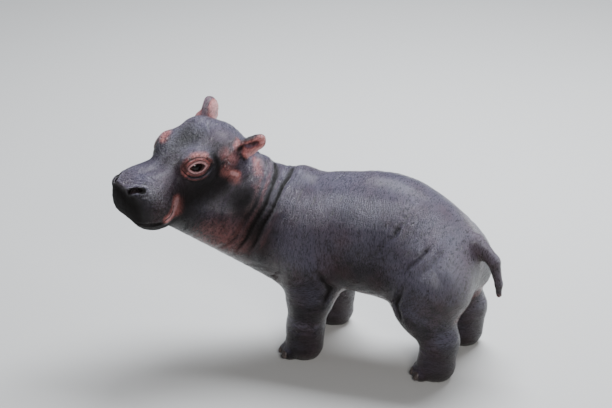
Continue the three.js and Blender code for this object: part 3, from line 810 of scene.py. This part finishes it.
# Painted shade in the wrinkle lines.
crease_shade = wrinkle_lines.held(0.51, 0.40)
base = hide.mixed(crease_shade * (0.75 - rosy * 0.5), base, DEEP_SHADE_AND_DARK_SKIN)

pebbles = hide.node("TexVoronoi", {"feature": "DISTANCE_TO_EDGE"}, {"Vector": place, "Scale": 300.0})
pebbles = pebbles.held(0.0, 0.12)
pores = hide.noise(place, 420.0, 2.0, 0.6)
surface = streaks * 1.3 + threads * 1.5 + fine_streaks * 0.9 + pebbles * 0.16 + pores * 0.9
bumps = hide.node("Bump", {}, {"Strength": 1.0, "Distance": 0.006, "Height": surface})
hide.set(Base_Color=base, Roughness=(0.13 + blotches * 0.15 + dark * 0.3), Normal=bumps,
         Coat_Weight=0.12 - dark * 0.12, Coat_Roughness=0.32, Specular_IOR_Level=0.62)
# A matte near-black layer over the strongest part of the dark mark: painted shade.
painted_shade_layer = hide.node("BsdfDiffuse", {}, {"Color": DEEP_SHADE_AND_DARK_SKIN})
hide.cover(painted_shade_layer, shade_and_dark_skin_mark.held(0.5, 1.25) * 0.8)

skin.data.materials.append(hide.material)
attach(skin, "root")
LEG_NAMES = [f"{end}_{side}" for end in ("front", "hind") for side in ("left", "right")]
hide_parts("head", "lower_jaw", "neck", "trunk", "tail", "ear_left", "ear_right",
            *[f"{part}_{leg}" for part in ("leg", "foot") for leg in LEG_NAMES])

# ---- Eyes ---------------------------------------------------------------------------------
# Two wet, dark brown eyeballs, each a sphere with a slightly raised clear front, set behind
# the lids of the skin.
BROWN = (0.007, 0.0035, 0.0025)
EYE_WHITE = (0.06, 0.026, 0.022)
PUPIL = (0.002, 0.002, 0.002)
IRIS_RADIUS = 13.5
SWELL, SWELL_RADIUS = 0.028, 11            # how far the clear front stands out, as a part of the radius
IRIS_LENGTH = 1.15                         # its length along the slit against its height
RINGS, SPOKES = 40, 64

eye_finish = Finish("wet_eye")
iris_mark = eye_finish.mark("iris")
flecks = eye_finish.noise(eye_finish.node("TexCoord", output=3), 900.0, 2.0)
eye_colour = eye_finish.node("ValToRGB", {"stops": (
    (0.0, PUPIL), (0.36, PUPIL), (0.46, BROWN), (0.86, BROWN), (1.0, EYE_WHITE))},
    {0: iris_mark + (flecks - 0.5) * 0.06})
eye_finish.set(Base_Color=eye_colour, Roughness=0.10, Coat_Weight=0.25, Coat_Roughness=0.01,
               Specular_IOR_Level=0.08)

for side_name, side in (("left", 1), ("right", -1)):
    ring = np.arange(RINGS + 1)[:, None] / RINGS * math.pi
    spoke = np.arange(SPOKES)[None, :] / SPOKES * 2 * math.pi
    forward = np.sin(ring) * np.cos(spoke)
    upward = np.sin(ring) * np.sin(spoke)
    outward_part = np.cos(ring) * np.ones_like(spoke)
    swell = 1 + SWELL * np.exp(-((np.sin(ring) * EYE_RADIUS / SWELL_RADIUS) ** 2)) * (np.cos(ring) > 0)
    ball_points = (EYE_FRONT * forward[..., None] + EYE_UP * upward[..., None]
                   + EYE_OUT * outward_part[..., None])
    ball_points = EYE_AT + ball_points * (EYE_RADIUS * swell)[..., None]
    ball_points = ball_points.reshape(-1, 3) * (1, side, 1)
    placed = from_head(ball_points[:, :1], ball_points[:, 1:2], ball_points[:, 2:])
    i = np.arange(RINGS)[:, None] * SPOKES
    j = np.arange(SPOKES)[None, :]
    turn = (j + 1) % SPOKES
    quads = np.stack([i + j, i + SPOKES + j, i + SPOKES + turn, i + turn], -1).reshape(-1, 4)
    if side > 0:
        quads = quads[:, ::-1]
    eye = make_mesh(f"eyeball_{side_name}", (placed + HOME) / 1000, quads)
    across = np.sqrt((forward * EYE_RADIUS / IRIS_LENGTH) ** 2 + (upward * EYE_RADIUS) ** 2) / IRIS_RADIUS
    across = np.where(outward_part > 0, np.minimum(across, 1), 1).reshape(-1)
    layer = eye.data.attributes.new("iris", "FLOAT", "POINT")
    layer.data.foreach_set("value", across.astype(np.float32))
    eye.data.materials.append(eye_finish.material)
    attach(eye, "root")
    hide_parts(f"eye_{side_name}")

# ---- Toenails -----------------------------------------------------------------------------
# Four blunt horn hooves on each foot, one at the tip of each toe: dark brown, worn and
# lightly ridged down their length. Each is a rounded shell that grows out of the toe.
NAIL_DARK = (0.030, 0.022, 0.022)
NAIL_WORN = (0.085, 0.066, 0.060)
NAIL_HALF = (0.0058, 0.0096, 0.0112)       # half its thickness, width and height, m
NAIL_LEAN = math.radians(24)
NAIL_SQUARE = 0.6                          # 0 for an ellipsoid, 1 for a rounded block
NAIL_RINGS, NAIL_SPOKES = 14, 28
nail_finish = Finish("horn")
nail_place = nail_finish.node("TexCoord", output=3)
nail_lines = nail_finish.noise(
    nail_finish.node("Mapping", {}, {"Vector": nail_place, "Scale": (1.0, 1.0, 0.1)}), 500.0, 3.0)
nail_wear = nail_finish.noise(nail_place, 120.0, 3.0)
nail_bump = nail_finish.node("Bump", {}, {"Strength": 0.5, "Distance": 0.0006, "Height": nail_lines})
nail_finish.set(Base_Color=nail_finish.mixed(nail_wear.held(0.4, 0.7), NAIL_DARK, NAIL_WORN),
                Roughness=(0.35 + nail_lines * 0.2), Normal=nail_bump)

for leg in LEG_NAMES:
    for toe in range(len(TOE_FAN)):
        node = f"nail_{leg}_{toe + 1}"
        low, high = (np.array(v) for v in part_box(node))
        middle = (low + high) / 2
        foot_x, foot_y = FRONT_FOOT if leg.startswith("front") else HIND_FOOT
        foot_y = -foot_y if leg.endswith("left") else foot_y
        foot_middle = (np.array((foot_x, foot_y, 0)) + HOME) / 1000
        ahead = middle - foot_middle
        ahead[2] = 0
        ahead /= np.linalg.norm(ahead)
        aside = np.cross((0, 0, 1), ahead)
        ring = (np.arange(NAIL_RINGS + 1)[:, None] / NAIL_RINGS - 0.5) * math.pi
        spoke = np.arange(NAIL_SPOKES)[None, :] / NAIL_SPOKES * 2 * math.pi
        wide = np.cos(ring) * np.sin(spoke)
        thick = np.cos(ring) * np.cos(spoke)
        tall = np.sin(ring) * np.ones_like(spoke)
        cubes = np.abs(wide) ** 3 + np.abs(thick) ** 3 + np.abs(tall) ** 3
        square = 1.0 / np.maximum(cubes, 1e-6) ** (1 / 3)
        wide, thick, tall = (v * (1 + (square - 1) * NAIL_SQUARE) for v in (wide, thick, tall))
        half_thick, half_wide, half_tall = NAIL_HALF
        out = thick * half_thick * math.cos(NAIL_LEAN) - tall * half_tall * math.sin(NAIL_LEAN)
        rise = thick * half_thick * math.sin(NAIL_LEAN) + tall * half_tall * math.cos(NAIL_LEAN)
        nail_points = middle + ahead * out[..., None] + aside * (wide * half_wide)[..., None] \
            + np.array((0, 0, 1)) * rise[..., None]
        nail_points = nail_points.reshape(-1, 3)
        i = np.arange(NAIL_RINGS)[:, None] * NAIL_SPOKES
        j = np.arange(NAIL_SPOKES)[None, :]
        turn = (j + 1) % NAIL_SPOKES
        quads = np.stack([i + j, i + turn, i + NAIL_SPOKES + turn, i + NAIL_SPOKES + j], -1).reshape(-1, 4)
        nail = make_mesh("toenail_" + node[5:], nail_points, quads)
        nail.data.materials.append(nail_finish.material)
        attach(nail, "root")
        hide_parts(node)

# ---- Floor, light and camera --------------------------------------------------------------
# A pale studio floor, one broad soft light overhead like an open sky, a weaker one from the
# camera's side, and a long lens that looks down on the calf's left side.
FLOOR_SIZE = 30.0
floor_mesh = bpy.data.meshes.new("floor")
half = FLOOR_SIZE / 2
floor_corners = [(-half, -half, 0), (half, -half, 0), (half, half, 0), (-half, half, 0)]
floor_mesh.from_pydata(floor_corners, [], [(0, 1, 2, 3)])
floor = bpy.data.objects.new("floor", floor_mesh)
bpy.context.scene.collection.objects.link(floor)
floor_finish = Finish("pale_floor")
floor_finish.set(Base_Color=(0.48, 0.48, 0.47), Roughness=0.7)
floor.data.materials.append(floor_finish.material)


def softbox(name, place, aim, size, power, colour):
    light = bpy.data.lights.new(name, "AREA")
    light.shape = "RECTANGLE"
    light.size, light.size_y = size
    light.energy = power
    light.color = colour
    lamp = bpy.data.objects.new(name, light)
    lamp.location = place
    lamp.rotation_euler = (Vector(aim) - Vector(place)).to_track_quat("-Z", "Y").to_euler()
    bpy.context.scene.collection.objects.link(lamp)


softbox("sky", (0.1, 1.7, 2.9), (0, 0, 0.3), (2.4, 1.6), 330, (0.92, 0.95, 1.0))
softbox("near_side", (1.9, -3.2, 2.2), (-0.2, 0, 0.4), (1.2, 1.0), 130, (1.0, 0.97, 0.94))

world = bpy.data.worlds.new("studio")
world.use_nodes = True
world.node_tree.nodes["Background"].inputs["Color"].default_value = (0.85, 0.90, 1.0, 1)
world.node_tree.nodes["Background"].inputs["Strength"].default_value = 0.16
bpy.context.scene.world = world

IMAGE_WIDTH = 612                          # pixels
PIXELS_PER_METRE = 400.0                   # at the calf
CAMERA_AWAY = 7.0
CAMERA_AZIMUTH, CAMERA_ELEVATION = math.radians(20), math.radians(24)
SENSOR = 36.0
AIM_LEFT, AIM_UP = math.radians(1.68), math.radians(0.59)   # off the calf's middle, so it stands aside
AIM_HEIGHT = 0.322
aim = Vector((HOME[0] / 1000, HOME[1] / 1000, AIM_HEIGHT))
back = Vector((math.sin(CAMERA_AZIMUTH) * math.cos(CAMERA_ELEVATION),
               -math.cos(CAMERA_AZIMUTH) * math.cos(CAMERA_ELEVATION), math.sin(CAMERA_ELEVATION)))
lens = bpy.data.cameras.new("camera")
lens.sensor_width = SENSOR
lens.lens = PIXELS_PER_METRE * CAMERA_AWAY / IMAGE_WIDTH * SENSOR
camera = bpy.data.objects.new("camera", lens)
turned = back.to_track_quat("Z", "Y").to_matrix()
turned = turned @ Matrix.Rotation(AIM_LEFT, 3, "Y") @ Matrix.Rotation(AIM_UP, 3, "X")
camera.matrix_world = Matrix.Translation(aim + back * CAMERA_AWAY) @ turned.to_4x4()
bpy.context.scene.collection.objects.link(camera)
bpy.context.scene.camera = camera
